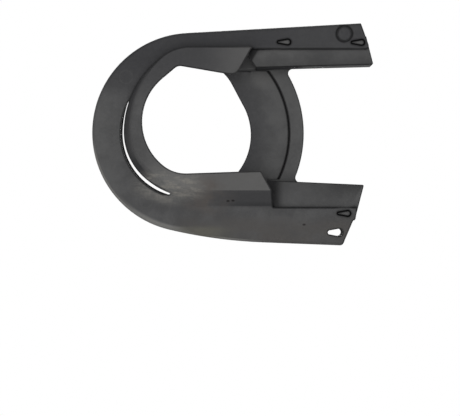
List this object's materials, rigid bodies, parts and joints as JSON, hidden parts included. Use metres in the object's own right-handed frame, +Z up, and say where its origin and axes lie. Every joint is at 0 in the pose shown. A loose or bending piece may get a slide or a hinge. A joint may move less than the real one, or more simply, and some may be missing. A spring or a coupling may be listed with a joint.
{
  "type": "chain guard",
  "caption": "Front section of a closed bicycle chain guard: clipped plastic half shells round the chainring, with open-ended arms for the chain and a round crank opening.",
  "frame": {"origin": "chainring axis at mid thickness of the crank-side plate, in the middle of the crank opening", "axes": "+X to the rear of the bicycle along the arms, +Y out to the crank side along the chainring axis, +Z up"},
  "size_m": [0.2701, 0.0358, 0.2137],
  "materials": {
    "frame_side_plastic": "fine matt grain, dark grey",
    "crank_side_plastic": "fine matt grain, dark grey"
  },
  "bodies": {
    "root": {"frame_side_shell": "frame_side_plastic", "crank_side_shell": "crank_side_plastic"}
  },
  "joints": []
}
